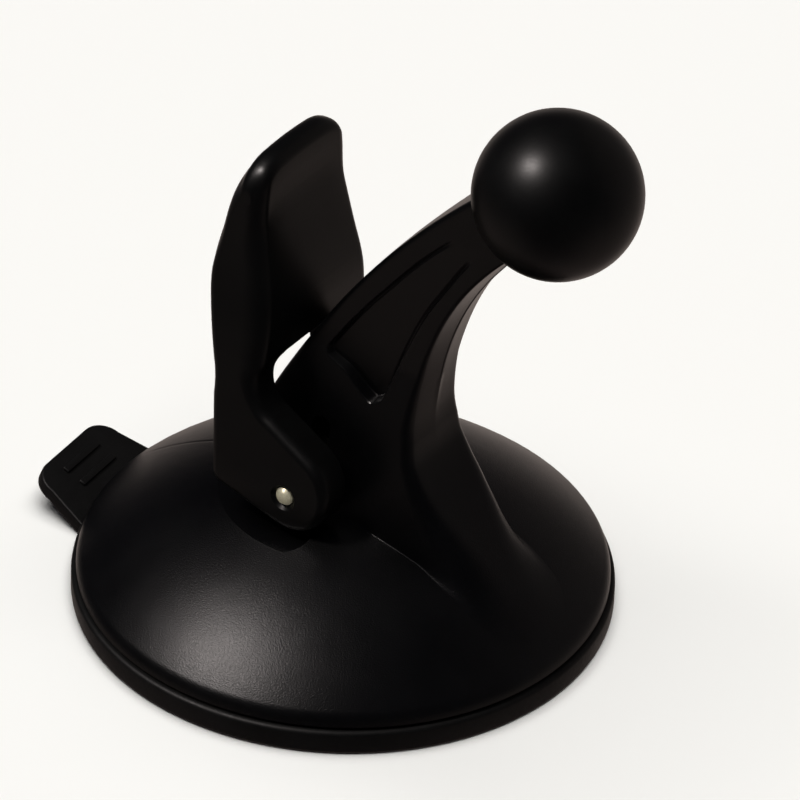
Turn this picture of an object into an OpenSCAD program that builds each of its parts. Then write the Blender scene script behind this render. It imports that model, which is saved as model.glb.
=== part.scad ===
// Suction mount for a car windscreen: a rubber cup under a moulded dome, a cam lever that
// pulls the middle of the cup up, and an arm that ends in a ball for a navigator's holder.
// The origin is on the glass, at the middle of the cup. The arm leans towards +X.

/* [Suction cup] */
// Outer diameter of the rubber lip
lip_d = 56; // [52:0.5:62]
// Height of the lip's outer wall
lip_h = 2.7; // [2.2:0.1:3.4]
// Width of the flat ring of the lip that lies on the glass
lip_land = 2.2; // [1.6:0.1:3]
// Depth of the hollow under the middle of the cup
cup_hollow = 1.6; // [1:0.1:2]
// Thickness of the cup's flexible wall
cup_wall = 2; // [1.6:0.1:2.4]
// Height of the groove that shows between the lip and the rim of the dome
groove_h = 0.25; // [0.15:0.05:0.4]
// Width of the pull tab
tab_w = 13; // [10:0.2:18]
// Reach of the pull tab beyond the lip
tab_reach = 7.5; // [6:0.5:12]
// Thickness of the pull tab
tab_t = 1.5; // [1.2:0.1:2]
// Upward slope of the pull tab, in degrees
tab_rise = 22; // [0:1:30]
// Turn of the cup about its axis, seen in the tab, in degrees
tab_turn = 3.5; // [-6:0.5:6]
// Length of the grip ribs across the pull tab
tab_rib_l = 6; // [4:0.5:9]

/* [Dome] */
// Diameter of the dome's rim
rim_d = 55; // [51:0.5:60]
// Radius of the dome's round crown
crown_r = 40; // [36:0.5:48]
// Height of the top of the crown above the glass
crown_h = 15; // [14:0.1:16]
// Rounding of the rim's edge
rim_round = 2; // [1:0.1:2.4]
// Wall of the dome
dome_wall = 2.4; // [1.8:0.1:3]
// Width of the flat ring under the rim
rim_w = 3; // [2.4:0.1:4]
// Height of the flat pads that the cams of the lever bear on
pad_h = 12.8; // [12.4:0.1:13]

/* [Ball and arm] */
// Diameter of the ball
ball_d = 17; // [15:0.1:19]
// Distance of the ball's centre in front of the cup's axis
ball_x = 23.8; // [20:0.2:28]
// Height of the ball's centre above the glass
ball_z = 58.4; // [54:0.2:64]
// Slope of the neck behind the ball, in degrees
neck_slope = 40; // [34:1:46]
// Height of the neck where it meets the ball
neck_h = 7; // [6:0.1:8.5]
// Thickness of the arm
arm_w = 7; // [6.6:0.1:8]
// Height above which the sides of the arm are parallel
arm_taper_z = 33; // [30:0.5:36]
// Width of the foot of the arm at the dome
foot_w = 12.6; // [12:0.1:13.2]
// Distance of the back of the foot behind the cup's axis
foot_back = 7.9; // [7:0.1:8.4]
// Distance of the front of the foot in front of the cup's axis
foot_front = 9.8; // [9:0.1:11]
// Bow of the arm's back edge
back_bow = 2.2; // [1.2:0.1:3]
// Hollow of the arm's front edge
front_bow = 3.2; // [2:0.1:3.8]
// Height of the seam along the middle of the arm's front face
seam_h = 0.2; // [0.1:0.05:0.4]
// Reach of the flare that joins the front of the foot to the dome
flare_reach = 11.2; // [9.5:0.1:12.5]
// Hollow of the flare's front edge
flare_bow = 1.2; // [0.8:0.1:1.8]
// Depth of the panels in the sides of the arm at their lower end
panel_depth = 0.7; // [0.3:0.1:1]

/* [Lever] */
// Height of the pivot pin above the glass, with the cup released
pin_z = 18; // [17.6:0.1:18.6]
// Diameter of the pivot pin
pin_d = 2; // [1.6:0.1:2.4]
// Width of the lever across its cheeks, at the pin
lever_w = 22.6; // [22:0.1:24]
// Width of the lever at its tip
tip_w = 13.2; // [11:0.1:15]
// Height of the lever's tip above the glass, with the cup released
tip_z = 52.6; // [48:0.2:56]
// Thickness of a cheek
cheek_t = 3.7; // [3.2:0.1:3.9]
// Distance of the cheeks' back edge behind the pin
cheek_back = 9; // [8.6:0.1:9.2]
// Radius of the round toe of the cheeks
toe_r = 4.6; // [4.2:0.1:4.7]
// Thickness of the lever's paddle at the crotch
paddle_t = 4.9; // [4.4:0.1:5.3]
// Thickness of the lever's paddle at the tip
tip_t = 2; // [1.6:0.1:3]
// Height of the crotch between the cheeks
crotch_z = 30.7; // [30:0.1:32.5]

/* [Pull stem] */
// Diameter of the stem that pulls the cup up
stem_d = 6; // [5:0.1:6.4]
// Rise of the stem when the lever is folded down
stem_lift = 5.2; // [5.1:0.05:5.4]
// Diameter of the flange moulded into the cup
flange_d = 15; // [12:0.5:17]
// Thickness of the flange
flange_t = 1.5; // [1.2:0.1:1.8]
// Outer diameter of the return spring
spring_d = 9.6; // [9.2:0.1:9.8]
// Diameter of the spring's wire
wire_d = 0.8; // [0.6:0.05:0.9]
// Turns of the spring
spring_turns = 4.5; // [3.5:0.5:5]
// Thickness of the washer under the spring
washer_t = 0.6; // [0.4:0.1:0.8]

/* [Fits] */
// Radial clearance of the stem in the dome and of the pin in the cheeks
run_gap = 0.06; // [0.03:0.01:0.1]
// Clearance between pieces that move past each other
free_gap = 0.3; // [0.2:0.05:0.5]
// Clearance round pieces that are moulded or glued in
set_gap = 0.05; // [0.02:0.01:0.1]

/* [Hidden] */
$fn = 96;
far = 100;
bow_steps = 16;
plastic = "#1c1b1a";
satin = "#161515";
rubber = "#202020";
steel = "#c9c6be";
nylon = "#3a3a38";

// Heights that follow from the sizes above
seat_z = lip_h + groove_h;
crown_z = crown_h - crown_r;
lip_r = lip_d / 2;
rim_r = rim_d / 2;
cavity_r = rim_r - rim_w;
land_r = rim_r - rim_w / 4;
round_z = crown_z + sqrt(pow(crown_r - rim_round, 2) - pow(rim_r - rim_round, 2));

// Heights of the pieces on the cup's axis
cover_t = 1;
flange_z = cup_hollow + cover_t;
boss_r = flange_d / 2 + 1.5;
boss_z = flange_z + flange_t + cover_t;
spring_z = boss_z + washer_t;
stem_top = pin_z + pin_d / 2 + 1.5;
slot_low = pin_z - pin_d / 2 - free_gap;
slot_high = pin_z + stem_lift + pin_d / 2 + free_gap;
pocket_top = slot_low - 0.6;
bore_top = stem_top + stem_lift + free_gap;

// Ends of the arm at the ball, seen from the side
neck_along = [cos(neck_slope), sin(neck_slope)];
neck_up = [-sin(neck_slope), cos(neck_slope)];
neck_end = [ball_x, ball_z] - neck_along * ball_d * 0.35;
spigot_d = neck_h * 0.6;
spigot_l = ball_d * 0.72;

// Side outline of the lever
pin_at = [0, pin_z];
toe_at = pin_at + [0.3, 0.6];
toe_room = 1.7;
heel = [-cheek_back, pin_z - 1.9];
heel_round = 1.4;
shoulder = [-cheek_back, pin_z + 8];
waist = shoulder + [-0.5, 3.5];
crotch_front = waist[0] + paddle_t;
notch = [crotch_front - 0.8, crotch_z - 4];
tip_back = -cheek_back + 0.3;
tip_round = 3;
tip_crown = 0.4;
paddle_bow = 1.9;
hole_d = pin_d + 2 * run_gap;
countersink = 0.45;

// Centre of an arc from p to q whose middle stands off the chord to its left by sag, and points along it
function arc_centre(p, q, sag) =
    let (chord = norm(q - p), r = (chord * chord / 4 + sag * sag) / (2 * sag),
         left = [p[1] - q[1], q[0] - p[0]] / chord)
    (p + q) / 2 + left * (sag - r);
function angle_of(c, p) = atan2(p[1] - c[1], p[0] - c[0]);
function bow_at(p, q, sag, share) =
    let (c = arc_centre(p, q, sag), a = angle_of(c, p), turn = (angle_of(c, q) - a + 540) % 360 - 180)
    c + norm(p - c) * [cos(a + turn * share), sin(a + turn * share)];
function bow(p, q, sag) = [for (i = [0 : bow_steps]) bow_at(p, q, sag, i / bow_steps)];

// Point where a line from outside touches a circle, on the side that lies lower
function touch_low(c, r, p) =
    let (d = p - c, base = atan2(d[1], d[0]), off = acos(r / norm(d)))
    c + r * [cos(base + off), sin(base + off)];
// Point where a line from outside touches a circle, on the side that lies higher
function touch_high(c, r, p) =
    let (d = p - c, base = atan2(d[1], d[0]), off = acos(r / norm(d)))
    c + r * [cos(base - off), sin(base - off)];
// Points of a circle from angle a to angle b
function round_part(c, r, a, b) =
    [for (i = [0 : bow_steps]) c + r * [cos(a + (b - a) * i / bow_steps), sin(a + (b - a) * i / bow_steps)]];

// An outline of x and z drawn from the side, given a width across y
module from_side(width) {
    rotate([90, 0, 0]) linear_extrude(height = width, center = true) children();
}

// An outline of y and z drawn from the front, given a length along x
module from_front(length) {
    rotate([90, 0, 90]) linear_extrude(height = length, center = true) children();
}

module both_sides() {
    children();
    mirror([0, 1, 0]) children();
}

// Housing

module crown(radius) {
    translate([0, 0, crown_z]) sphere(r = radius);
}

module rim_section() {
    intersection() {
        translate([rim_r - rim_round, round_z]) circle(r = rim_round);
        translate([0, seat_z]) square([rim_r, crown_h]);
    }
    translate([cavity_r, seat_z]) square([rim_r - cavity_r, round_z - seat_z]);
    translate([cavity_r, seat_z]) square([rim_r - rim_round - cavity_r, round_z - seat_z + rim_round * 0.6]);
}

module dome() {
    touch_r = (rim_r - rim_round) * crown_r / (crown_r - rim_round);
    difference() {
        union() {
            intersection() {
                crown(crown_r);
                translate([0, 0, seat_z]) cylinder(r = touch_r, h = crown_h);
            }
            rotate_extrude() rim_section();
        }
        intersection() {
            crown(crown_r - dome_wall);
            cylinder(r = cavity_r, h = crown_h);
        }
    }
}

// Half widths of the arm's sides, from the dome up
module arm_sides(inset = 0) {
    low = foot_w / 2 - inset;
    high = arm_w / 2 - inset;
    polygon([[-low, 0], [low, 0], [low, pad_h], [high, arm_taper_z], [high, far],
             [-high, far], [-high, arm_taper_z], [-low, pad_h]]);
}

// Ends of the arm's curved edges, seen from the side
back_low = [-foot_back, pin_z + 4];
back_high = neck_end + neck_up * neck_h / 2;
front_low = [foot_front, pin_z + 6];
front_high = neck_end - neck_up * neck_h / 2;
foot_z = pad_h - dome_wall / 2;

flare_x = foot_front + flare_reach;
flare_low = [flare_x, crown_z + sqrt(crown_r * crown_r - flare_x * flare_x) - 0.4];

module arm_outline() {
    polygon(concat([[-foot_back, foot_z]], bow(back_low, back_high, back_bow),
                   bow(front_high, front_low, -front_bow), bow(front_low, flare_low, -flare_bow)));
}

// Half width of the arm at a height where its sides spread
function arm_half(z) = arm_w / 2 + (foot_w - arm_w) / 2 * (arm_taper_z - z) / (arm_taper_z - pad_h);

// Slanted cut that takes the corner off the flare, wider towards the dome
module flare_corner() {
    start = bow_at(front_low, flare_low, -flare_bow, 5 / 8);
    turn = -54;
    lean = -14;
    translate([start[0], -arm_half(start[1]), start[1]]) rotate([0, 0, turn]) rotate([0, lean, 0])
        translate([0, -far / 4, 4 - far / 2]) cube([far / 4, far / 2, far / 2]);
}

// Seam of the mould along the arm's front edge
module seam() {
    edge = bow(front_high, front_low, -front_bow);
    out = [seam_h, -seam_h];
    polygon(concat([for (p = edge) p + out], [for (i = [bow_steps : -1 : 0]) edge[i] - out]));
}

module arm_solid() {
    difference() {
        intersection() {
            from_side(foot_w) arm_outline();
            from_front(far) arm_sides();
        }
        both_sides() flare_corner();
    }
    from_side(seam_h * 3) seam();
}

// Corners of the panel in the arm's side: share of the way up the arm, share from its back to its front
panel_marks = [[0.255, 0.19], [0.44, 0.245], [0.565, 0.29], [0.715, 0.32], [0.831, 0.354],
               [0.815, 0.725], [0.683, 0.775], [0.55, 0.785], [0.393, 0.793], [0.262, 0.785], [0.155, 0.765],
               [0.14, 0.707], [0.151, 0.646], [0.178, 0.556], [0.211, 0.44], [0.231, 0.309], [0.245, 0.219]];
function on_arm(mark) = bow_at(back_low, back_high, back_bow, mark[0]) * (1 - mark[1])
    + bow_at(front_low, front_high, front_bow, mark[0]) * mark[1];

// Panel in the arm's side, deepest at its lower end
module panel() {
    corners = [for (mark = panel_marks) on_arm(mark)];
    top_z = max([for (p = corners) p[1]]);
    low_z = min([for (p = corners) p[1]]);
    wall = arm_w / 2;
    floor_y = wall - panel_depth;
    difference() {
        from_side(foot_w) polygon(corners);
        from_front(far) polygon([[-floor_y, 0], [floor_y, 0], [floor_y, low_z], [wall, top_z], [wall, far],
                                 [-wall, far], [-wall, top_z], [-floor_y, low_z]]);
    }
}

// Flat pad under a cheek's cam. It is open to the side, and its front end is round with the toe
module cam_pad() {
    back = -cheek_back - 1.2;
    translate([0, foot_w / 2 + rim_r, 0]) rotate([90, 0, 0]) linear_extrude(height = rim_r) intersection() {
        translate([back, pad_h]) square([far, crown_h]);
        union() {
            translate([back, pad_h]) square([toe_at[0] - back, crown_h]);
            translate(toe_at) circle(r = toe_r + toe_room);
        }
    }
}

module ball_spigot(gap) {
    translate([ball_x, 0, ball_z]) rotate([0, -90 - neck_slope, 0])
        cylinder(d = spigot_d + 2 * gap, h = spigot_l + gap);
}

module stem_bore() {
    cylinder(d = stem_d + 2 * run_gap, h = bore_top);
    cylinder(d = spring_d + 2 * free_gap, h = pocket_top);
    slot_w = pin_d + 2 * free_gap;
    from_side(far) {
        translate([-slot_w / 2, slot_low + slot_w / 2]) square([slot_w, slot_high - slot_low - slot_w]);
        translate([0, slot_low + slot_w / 2]) circle(d = slot_w);
        translate([0, slot_high - slot_w / 2]) circle(d = slot_w);
    }
}

module housing() {
    color(plastic) difference() {
        union() {
            difference() {
                dome();
                both_sides() cam_pad();
            }
            arm_solid();
        }
        both_sides() panel();
        translate([ball_x, 0, ball_z]) sphere(d = ball_d + 2 * set_gap);
        ball_spigot(set_gap);
        stem_bore();
        intersection() {
            crown(crown_r - dome_wall);
            cylinder(r = cavity_r, h = pad_h - 1.2);
        }
    }
}

module ball() {
    color(satin) {
        translate([ball_x, 0, ball_z]) sphere(d = ball_d);
        ball_spigot(0);
    }
}

// Suction cup

module cup_section() {
    edge = 0.5;
    hollow_r = lip_r - lip_land;
    web_z = cup_hollow + cup_wall;
    under = bow([0, cup_hollow], [hollow_r, 0], cup_hollow / 4);
    polygon(concat(under, [[lip_r - edge, 0], [lip_r, edge], [lip_r, lip_h - edge], [lip_r - edge, lip_h],
                   [land_r, lip_h], [land_r, seat_z - set_gap], [cavity_r - free_gap, seat_z - set_gap],
                   [boss_r + 2, web_z], [boss_r, boss_z], [0, boss_z]]));
}

module pull_tab() {
    inner = lip_land;
    length = inner + tab_reach;
    corner = tab_w / 5;
    root_w = tab_w + 2;
    rotate([0, 0, 180 + tab_turn]) translate([lip_r, 0, 0.2]) {
        rotate([0, -tab_rise, 0]) translate([-inner, 0, 0]) {
            linear_extrude(height = tab_t) {
                polygon([[0, -root_w / 2], [inner, -root_w / 2], [length - corner, -tab_w / 2],
                         [length - corner, tab_w / 2], [inner, root_w / 2], [0, root_w / 2]]);
                translate([length - corner - 0.01, corner - tab_w / 2])
                    square([corner + 0.01, tab_w - 2 * corner]);
                for (side = [-1, 1])
                    translate([length - corner, side * (tab_w / 2 - corner)]) circle(r = corner);
            }
            for (row = [0, 1])
                translate([length - 2.4 - 2.2 * row, -tab_rib_l / 2, tab_t - 0.1]) cube([0.8, tab_rib_l, 0.4]);
        }
    }
}

module suction_cup() {
    color(rubber) difference() {
        union() {
            rotate_extrude() cup_section();
            difference() {
                pull_tab();
                translate([0, 0, -far]) cylinder(r = far, h = far);
                cylinder(r = lip_r - lip_land, h = crown_h);
                translate([0, 0, lip_h]) cylinder(r = rim_r + free_gap, h = crown_h);
            }
        }
        translate([0, 0, flange_z - set_gap]) cylinder(d = flange_d + 4 * set_gap, h = flange_t + 2 * set_gap);
        translate([0, 0, flange_z]) cylinder(d = stem_d + 4 * set_gap, h = crown_h);
    }
}

// Pull stem, spring and pin

module stem() {
    color(nylon) difference() {
        union() {
            translate([0, 0, flange_z]) cylinder(d = flange_d, h = flange_t);
            translate([0, 0, flange_z]) cylinder(d = stem_d, h = stem_top - flange_z);
        }
        translate([0, 0, pin_z]) rotate([90, 0, 0]) cylinder(d = pin_d, h = far, center = true);
    }
}

module spring_washer() {
    color(steel) translate([0, 0, boss_z]) difference() {
        cylinder(d = spring_d, h = washer_t);
        translate([0, 0, -1]) cylinder(d = stem_d + 2 * set_gap, h = washer_t + 2);
    }
}

// Centre line of the spring's wire
rings = 16;
wire_turns = round(spring_turns * rings);
wire_low = spring_z + wire_d / 2 + set_gap;
wire_high = pocket_top - wire_d / 2 - set_gap;
coil_r = (spring_d - wire_d) / 2;
wire_path = [for (i = [0 : wire_turns]) let (a = 360 * i / rings)
    [coil_r * cos(a), coil_r * sin(a), wire_low + (wire_high - wire_low) * i / wire_turns]];
coil_gap = min([for (i = [0 : wire_turns - rings]) norm(wire_path[i + rings] - wire_path[i])]) - wire_d;
echo(least_gap_between_coils = coil_gap);

module return_spring() {
    sides = 6;
    ring = [for (i = [0 : wire_turns], k = [0 : sides - 1])
        let (a = 360 * i / rings, b = 360 * k / sides, out = coil_r + wire_d / 2 * cos(b))
        [out * cos(a), out * sin(a), wire_path[i][2] + wire_d / 2 * sin(b)]];
    walls = [for (i = [0 : wire_turns - 1], k = [0 : sides - 1])
        let (p = i * sides + k, q = i * sides + (k + 1) % sides)
        each [[p, p + sides, q + sides], [p, q + sides, q]]];
    start_cap = [for (k = [1 : sides - 2]) [0, k, k + 1]];
    last = wire_turns * sides;
    end_cap = [for (k = [1 : sides - 2]) [last, last + k + 1, last + k]];
    color(steel) polyhedron(points = ring, faces = concat(walls, start_cap, end_cap));
}

module pivot_pin() {
    length = lever_w + 2 * free_gap;
    point = pin_d / 5;
    color(steel) translate([0, 0, pin_z]) rotate([90, 0, 0]) {
        cylinder(d = pin_d, h = length - 2 * point, center = true);
        both_ends(length / 2 - point) cylinder(d1 = pin_d, d2 = pin_d - 2 * point, h = point);
    }
}

module both_ends(at) {
    translate([0, 0, at]) children();
    mirror([0, 0, 1]) translate([0, 0, at]) children();
}

// Lever

module lever_outline() {
    low = touch_low(toe_at, toe_r, heel);
    high = touch_high(toe_at, toe_r, notch);
    heel_in = heel + [heel_round, heel_round];
    tip = [tip_back, tip_z - tip_t / 2];
    tip_front = tip + [tip_t, 0];
    polygon(concat(
        round_part(toe_at, toe_r, angle_of(toe_at, high), angle_of(toe_at, low)),
        round_part(heel_in, heel_round, 360 + angle_of(toe_at, low), 180),
        bow(shoulder, waist, -0.12), bow(waist, tip, paddle_bow),
        round_part(tip + [tip_t / 2, 0], tip_t / 2, 180, 0),
        bow([crotch_front, crotch_z], notch + (high - notch) * 0.35, -1.4)));
}

// Half width of the lever at a height
function lever_half(z) = lever_w / 2 + (tip_w - lever_w) / 2 * (z - pin_z) / (tip_z - pin_z);

module lever_front() {
    low_z = pin_z - toe_r - 1;
    corner_z = tip_z - tip_crown - tip_round;
    corner_y = lever_half(corner_z) - tip_round;
    polygon(concat([[-lever_w / 2, low_z], [lever_w / 2, low_z], [lever_w / 2, pin_z],
                    [lever_half(corner_z), corner_z]],
                   bow([corner_y, corner_z + tip_round], [-corner_y, corner_z + tip_round], -tip_crown),
                   [[-lever_half(corner_z), corner_z], [-lever_w / 2, pin_z]]));
    for (side = [-1, 1])
        translate([side * corner_y, corner_z]) circle(r = tip_round);
}

module yoke_slot() {
    low_z = pin_z - toe_r - 2;
    corner = 1.4;
    low_y = lever_w / 2 - cheek_t;
    high_y = lever_half(crotch_z) - cheek_t;
    polygon([[-low_y, low_z], [low_y, low_z], [low_y, pin_z], [high_y, crotch_z - corner],
             [high_y - corner, crotch_z], [corner - high_y, crotch_z], [-high_y, crotch_z - corner],
             [-low_y, pin_z]]);
}

module lever() {
    color(satin) difference() {
        intersection() {
            from_side(lever_w + 1) lever_outline();
            from_front(far) lever_front();
        }
        from_front(far) yoke_slot();
        translate([0, 0, pin_z]) rotate([90, 0, 0]) {
            cylinder(d = hole_d, h = far, center = true);
            both_ends(lever_w / 2 - countersink)
                cylinder(d1 = hole_d, d2 = hole_d + 2 * countersink, h = countersink);
        }
    }
}

housing();
ball();
suction_cup();
stem();
return_spring();
spring_washer();
pivot_pin();
lever();
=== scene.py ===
"""Windscreen suction mount: a rubber cup under a moulded dome, a cam lever, and an arm that ends in a ball.

Pieces are drawn in millimetres in the part's own frame and brought to metres when they are placed.
"""
import math
import bmesh
import bpy
from mathutils import Matrix, Quaternion, Vector


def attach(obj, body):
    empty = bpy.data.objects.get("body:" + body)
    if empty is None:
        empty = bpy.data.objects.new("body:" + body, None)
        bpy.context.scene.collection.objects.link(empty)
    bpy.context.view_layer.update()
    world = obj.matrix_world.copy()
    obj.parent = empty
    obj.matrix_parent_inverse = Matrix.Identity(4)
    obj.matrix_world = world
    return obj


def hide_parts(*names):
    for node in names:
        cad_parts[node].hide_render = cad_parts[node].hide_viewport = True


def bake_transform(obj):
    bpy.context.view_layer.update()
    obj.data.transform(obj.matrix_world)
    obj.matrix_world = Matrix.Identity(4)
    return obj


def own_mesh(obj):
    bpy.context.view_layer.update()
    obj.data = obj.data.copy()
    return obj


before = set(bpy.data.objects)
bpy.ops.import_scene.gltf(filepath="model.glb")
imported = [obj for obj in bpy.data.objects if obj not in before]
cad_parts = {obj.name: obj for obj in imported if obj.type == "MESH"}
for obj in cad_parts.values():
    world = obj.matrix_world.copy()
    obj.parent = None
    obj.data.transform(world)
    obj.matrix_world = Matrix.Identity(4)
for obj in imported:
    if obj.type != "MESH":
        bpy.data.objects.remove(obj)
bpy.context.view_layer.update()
MM, MICRON = 0.001, 1e-6

# Sizes of the part, as in its source
LIP_R, LIP_H, LIP_LAND, CUP_HOLLOW = 28.0, 2.7, 2.2, 1.6
SEAT_Z, LAND_R, CAVITY_R = 2.95, 26.75, 24.5
BOSS_R, BOSS_Z, FLANGE_R, FLANGE_Z, FLANGE_T = 9.0, 5.1, 7.5, 2.6, 1.5
TAB_W, TAB_REACH, TAB_T, TAB_RISE, TAB_TURN, TAB_RIB_L = 13.0, 7.5, 1.5, 22.0, 3.5, 6.0
RIM_R, RIM_ROUND, CROWN_R, CROWN_H, DOME_WALL, PAD_Z = 27.5, 2.0, 40.0, 15.0, 2.4, 12.8
CROWN_Z = CROWN_H - CROWN_R
BALL, BALL_R, SPIGOT_R, SPIGOT_L = Vector((23.8, 58.4)), 8.5, 2.1, 12.24
NECK_SLOPE, NECK_H, ARM_HALF, TAPER_Z = 40.0, 7.0, 3.5, 33.0
FOOT_HALF, FOOT_BACK, FOOT_FRONT, FLARE_REACH = 6.3, 7.9, 9.8, 11.2
PIN_Z, PIN_R, PIN_L = 18.0, 1.0, 23.2
LEVER_HALF, TIP_HALF, TIP_Z, TIP_T, PADDLE_T, CROTCH_Z = 11.3, 6.6, 52.6, 2.0, 4.9, 30.7
CHEEK_T, CHEEK_BACK, TOE, TOE_R = 3.7, 9.0, Vector((0.3, 18.6)), 4.6
STEM_R, STEM_LIFT = 3.0, 5.2
SPRING_R, WIRE_R, SPRING_TURNS, SPRING_LOW, SPRING_HIGH = 4.8, 0.4, 4.5, 5.7, 16.1
RUN_GAP, FREE_GAP, SET_GAP = 0.06, 0.3, 0.05


# Lines

def bow_at(p, q, sag, share):
    """A place on the arc from p to q whose middle stands off the chord to its left by sag."""
    chord = (q - p).length
    left = Vector((p.y - q.y, q.x - p.x)) / chord
    radius = (chord * chord / 4 + sag * sag) / (2 * sag)
    centre = (p + q) / 2 + left * (sag - radius)
    start, end = p - centre, q - centre
    first = math.atan2(start.y, start.x)
    sweep = (math.atan2(end.y, end.x) - first + 3 * math.pi) % (2 * math.pi) - math.pi
    angle = first + sweep * share
    return centre + start.length * Vector((math.cos(angle), math.sin(angle)))


def arc(centre, radius, first, last, steps):
    """Points of a circle between two angles in degrees, both ends included."""
    turns = [math.radians(first + (last - first) * k / steps) for k in range(steps + 1)]
    return [Vector(centre) + radius * Vector((math.cos(a), math.sin(a))) for a in turns]


def touch(centre, radius, point, side):
    """Where a line from a point touches a circle."""
    away = point - centre
    angle = math.atan2(away.y, away.x) + side * math.acos(radius / away.length)
    return centre + radius * Vector((math.cos(angle), math.sin(angle)))


def eased(corners, steps):
    """A line through corners of x, z and radius, with each corner rounded to its radius."""
    line = []
    for i, (x, z, radius) in enumerate(corners):
        here = Vector((x, z))
        if not radius or i in (0, len(corners) - 1):
            line.append(here)
            continue
        before = (Vector(corners[i - 1][:2]) - here).normalized()
        after = (Vector(corners[i + 1][:2]) - here).normalized()
        half = before.angle(after) / 2
        centre = here + (before + after).normalized() * radius / math.sin(half)
        start = here + before * radius / math.tan(half) - centre
        end = here + after * radius / math.tan(half) - centre
        sweep = start.angle(end)
        line += [centre + (start * math.sin((1 - k / steps) * sweep) + end * math.sin(k / steps * sweep))
                 / math.sin(sweep) for k in range(steps + 1)]
    return line


def through(marks, at):
    """A smooth curve through marks of place and value, flat beyond both ends."""
    if at <= marks[0][0]:
        return marks[0][1]
    if at >= marks[-1][0]:
        return marks[-1][1]
    k = max(i for i, mark in enumerate(marks) if mark[0] <= at)
    slopes = []
    for i in (k, k + 1):
        low, high = marks[max(i - 1, 0)], marks[min(i + 1, len(marks) - 1)]
        slopes.append((high[1] - low[1]) / (high[0] - low[0]))
    (x, y), (u, v) = marks[k], marks[k + 1]
    t, width = (at - x) / (u - x), u - x
    return (y * (2 * t ** 3 - 3 * t * t + 1) + v * (3 * t * t - 2 * t ** 3)
            + slopes[0] * width * (t ** 3 - 2 * t * t + t) + slopes[1] * width * (t ** 3 - t * t))


def spread(first, last, count):
    """Evenly spaced values from first up to last, without last."""
    return [first + (last - first) * k / count for k in range(count)]


def between(first, last, share):
    """The value at a share of the way from first to last."""
    return first + (last - first) * share


def smooth(low, high, value):
    """How far a value has come from low to high, as a share that starts and ends softly."""
    t = min(1, max(0, (value - low) / (high - low)))
    return t * t * (3 - 2 * t)


def eased_between(start, way_out, end, way_in, steps):
    """A curve from start to end that leaves and arrives in the given directions, without its end."""
    fullness = 1.1
    pull = (end - start).length * fullness
    shares = [k / steps for k in range(steps)]
    return [start * (2 * k ** 3 - 3 * k * k + 1) + way_out * pull * (k ** 3 - 2 * k * k + k)
            + end * (3 * k * k - 2 * k ** 3) + way_in * pull * (k ** 3 - k * k) for k in shares]


def halved(test, low, high):
    """Where a test that holds at low stops holding on the way to high."""
    for _ in range(40):
        middle = (low + high) / 2
        low, high = (middle, high) if test(middle) else (low, middle)
    return low


# Meshes

MERGE, ROUND_SIDES = 1e-4, 48


def sealed(bm):
    """A mesh with its doubles merged and its faces turned outwards."""
    bmesh.ops.remove_doubles(bm, verts=bm.verts, dist=MERGE)
    bmesh.ops.recalc_face_normals(bm, faces=bm.faces)
    return bm


def wrapped(rows, columns, place):
    """A grid of quads rolled up: place gives the corner of a row and a column."""
    bm = bmesh.new()
    bmesh.ops.create_grid(bm, x_segments=columns, y_segments=rows, size=1)
    for corner in bm.verts:
        corner.co = place(round((corner.co.y + 1) * rows / 2), round((corner.co.x + 1) * columns / 2))
    return sealed(bm)


def turned(line, steps):
    """A line of radius and height turned about the upright axis."""
    bm = bmesh.new()
    points = [bm.verts.new((p[0], 0, p[1])) for p in line]
    edges = [bm.edges.new(pair) for pair in zip(points, points[1:])]
    bmesh.ops.spin(bm, geom=points + edges, cent=(0, 0, 0), axis=(0, 0, 1), angle=2 * math.pi,
                   steps=steps, use_merge=True)
    return sealed(bm)


def sheet(points):
    """A flat face with these corners."""
    bm = bmesh.new()
    bm.faces.new([bm.verts.new(point) for point in points])
    return bm


def drawn_out(bm, way):
    """A flat face drawn out into a solid."""
    end = bmesh.ops.extrude_face_region(bm, geom=list(bm.faces))
    bmesh.ops.translate(bm, vec=way, verts=[v for v in end["geom"] if isinstance(v, bmesh.types.BMVert)])
    bmesh.ops.recalc_face_normals(bm, faces=bm.faces)
    return bm


def rod(radius, low, high):
    """An upright round cutter."""
    bm = bmesh.new()
    bmesh.ops.create_cone(bm, cap_ends=True, segments=ROUND_SIDES, radius1=radius, radius2=radius,
                          depth=high - low, matrix=Matrix.Translation((0, 0, (low + high) / 2)))
    return bm


def block(low, high, easing):
    """A block between two corners, with its edges eased."""
    bm = bmesh.new()
    low, high = Vector(low), Vector(high)
    bmesh.ops.create_cube(bm, size=1, matrix=Matrix.Translation((low + high) / 2)
                          @ Matrix.Diagonal((*(high - low), 1)))
    bmesh.ops.bevel(bm, geom=bm.edges, offset=easing, affect="EDGES", segments=3, profile=0.5,
                    material=-1)
    return bm


def along_pivot(bm):
    """An upright mesh laid along the pivot's axis."""
    bmesh.ops.transform(bm, matrix=Matrix.Translation((0, 0, PIN_Z)) @ Matrix.Rotation(math.pi / 2, 4, "X"),
                        verts=bm.verts)
    return bm


def as_object(bm, name="shape"):
    """A mesh as an object of the scene."""
    mesh = bpy.data.meshes.new(name)
    bm.to_mesh(mesh)
    bm.free()
    piece = bpy.data.objects.new(name, mesh)
    bpy.context.scene.collection.objects.link(piece)
    return piece


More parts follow.
